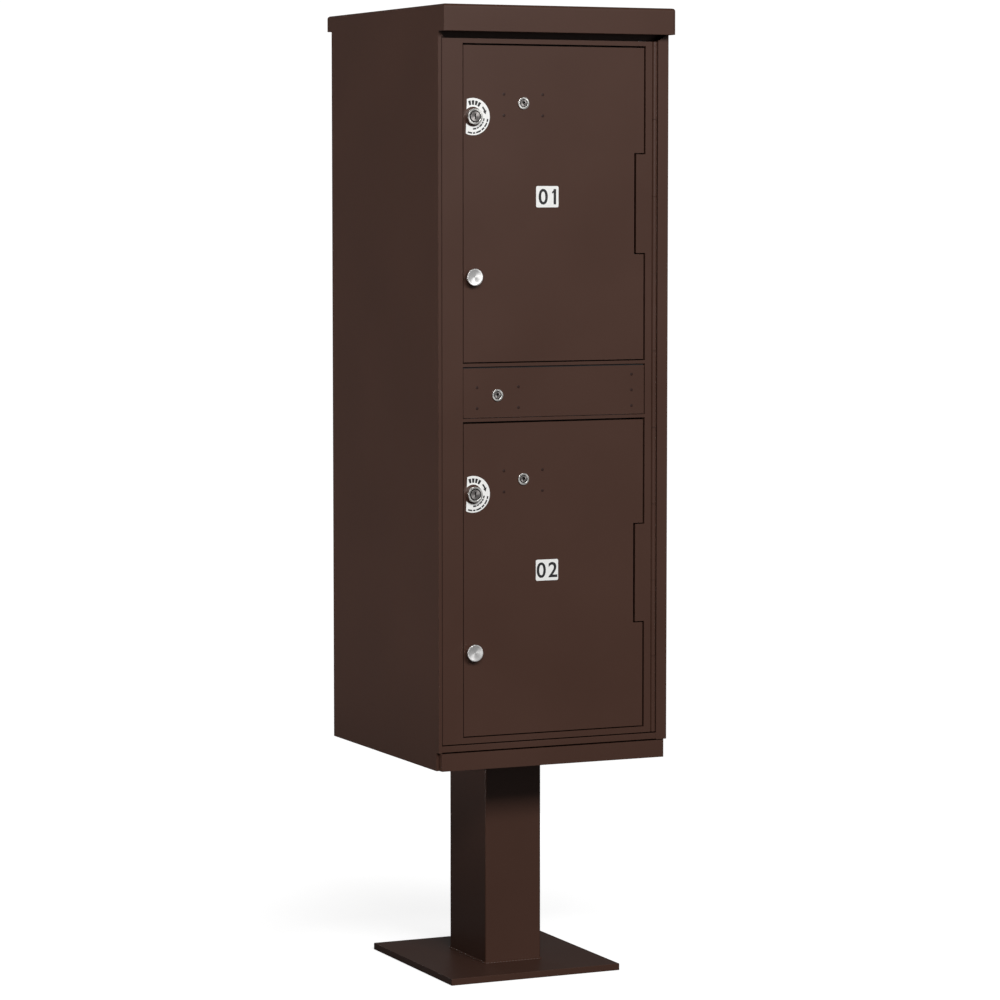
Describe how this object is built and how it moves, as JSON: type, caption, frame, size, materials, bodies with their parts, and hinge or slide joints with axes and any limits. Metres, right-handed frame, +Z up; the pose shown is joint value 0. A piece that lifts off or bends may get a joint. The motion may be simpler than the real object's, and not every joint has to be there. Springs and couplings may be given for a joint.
{
  "type": "pedestal parcel locker",
  "caption": "Freestanding outdoor parcel mailbox: tall sheet-metal cabinet with a loading door holding two locking parcel doors, under a hood, on a rectangular post and flat base plate.",
  "frame": {"origin": "centre of the base plate's underside, on the ground", "axes": "+Z up, the doors face -Y, +X is to the right when facing the doors"},
  "size_m": [0.404, 0.485, 1.571],
  "materials": {
    "pedestal_coat": "satin",
    "cabinet_coat": "satin",
    "hinge_coat": "satin",
    "bare_aluminium": "satin",
    "spun_aluminium": "satin",
    "lock_nickel": "satin",
    "zinc_steel": "satin",
    "foam_rubber": "matte",
    "label_white": "gloss",
    "decal_white": "matte"
  },
  "bodies": {
    "cabinet": {"base_plate": "pedestal_coat", "post": "pedestal_coat", "post_top_plate": "pedestal_coat", "cabinet_bolts": "zinc_steel", "side_panel_left": "cabinet_coat", "side_panel_right": "cabinet_coat", "back_panel": "cabinet_coat", "hood": "cabinet_coat", "floor_pan": "cabinet_coat", "top_jamb": "cabinet_coat", "bottom_jamb": "cabinet_coat", "strike_angle": "zinc_steel", "ceiling_panel": "bare_aluminium", "inner_wall_left": "bare_aluminium", "inner_wall_right": "bare_aluminium", "upper_shelf": "bare_aluminium", "lower_ceiling": "bare_aluminium", "shell_rivets": "cabinet_coat", "hinge_leaf_fixed": "hinge_coat", "hinge_pin": "zinc_steel"},
    "master_door": {"hinge_leaf_door": "hinge_coat", "door_frame": "cabinet_coat", "stop_frame_1": "cabinet_coat", "stop_frame_2": "cabinet_coat", "weather_strips": "foam_rubber", "tab_barrels": "zinc_steel", "middle_panel": "cabinet_coat", "middle_nuts": "zinc_steel", "bolt_guide": "zinc_steel", "master_lock_body": "lock_nickel"},
    "master_lock": {"master_lock_plug": "lock_nickel", "master_lock_cam": "zinc_steel"},
    "master_bolt": {"master_bolt": "zinc_steel"},
    "parcel_door_1": {"door_panel_1": "cabinet_coat", "door_pin_1": "zinc_steel", "pull_knob_1": "spun_aluminium", "label_1": "label_white", "decal_1": "decal_white", "lock_bracket_1": "zinc_steel", "lock_nuts_1": "zinc_steel", "parcel_lock_body_1": "lock_nickel", "control_lock_body_1": "lock_nickel"},
    "parcel_lock_1": {"parcel_lock_plug_1": "lock_nickel", "parcel_lock_cam_1": "zinc_steel"},
    "control_lock_1": {"control_lock_plug_1": "lock_nickel", "control_lock_cam_1": "zinc_steel"},
    "parcel_door_2": {"door_panel_2": "cabinet_coat", "door_pin_2": "zinc_steel", "pull_knob_2": "spun_aluminium", "label_2": "label_white", "decal_2": "decal_white", "lock_bracket_2": "zinc_steel", "lock_nuts_2": "zinc_steel", "parcel_lock_body_2": "lock_nickel", "control_lock_body_2": "lock_nickel"},
    "parcel_lock_2": {"parcel_lock_plug_2": "lock_nickel", "parcel_lock_cam_2": "zinc_steel"},
    "control_lock_2": {"control_lock_plug_2": "lock_nickel", "control_lock_cam_2": "zinc_steel"}
  },
  "joints": [
    {"name": "master_door_hinge", "type": "hinge", "parent": "cabinet", "child": "master_door", "pos_m": [0.178, -0.227, 0.961], "axis": [0, 0, 1], "range_deg": [0, 110]},
    {"name": "master_lock_turn", "type": "hinge", "parent": "master_door", "child": "master_lock", "pos_m": [-0.1005, -0.23, 0.9574], "axis": [0, 1, 0], "range_deg": [0, 90]},
    {"name": "master_bolt_slide", "type": "slide", "parent": "master_door", "child": "master_bolt", "axis": [-1, 0, 0], "range_m": [0, 0.0113]},
    {"name": "parcel_door_1_hinge", "type": "hinge", "parent": "master_door", "child": "parcel_door_1", "pos_m": [0.151, -0.2235, 1.2597], "axis": [0, 0, 1], "range_deg": [0, 100]},
    {"name": "parcel_lock_1_turn", "type": "hinge", "parent": "parcel_door_1", "child": "parcel_lock_1", "pos_m": [-0.1426, -0.23, 1.3964], "axis": [0, 1, 0], "range_deg": [0, 90]},
    {"name": "control_lock_1_turn", "type": "hinge", "parent": "parcel_door_1", "child": "control_lock_1", "pos_m": [-0.0552, -0.23, 1.418], "axis": [0, 1, 0], "range_deg": [0, 90]},
    {"name": "parcel_door_2_hinge", "type": "hinge", "parent": "master_door", "child": "parcel_door_2", "pos_m": [0.151, -0.2235, 0.6645], "axis": [0, 0, 1], "range_deg": [0, 100]},
    {"name": "parcel_lock_2_turn", "type": "hinge", "parent": "parcel_door_2", "child": "parcel_lock_2", "pos_m": [-0.1426, -0.23, 0.8012], "axis": [0, 1, 0], "range_deg": [0, 90]},
    {"name": "control_lock_2_turn", "type": "hinge", "parent": "parcel_door_2", "child": "control_lock_2", "pos_m": [-0.0552, -0.23, 0.8228], "axis": [0, 1, 0], "range_deg": [0, 90]}
  ],
  "couplings": [
    {"joint": "master_lock_turn", "follows": "master_bolt_slide", "rad_per_m": 139}
  ]
}
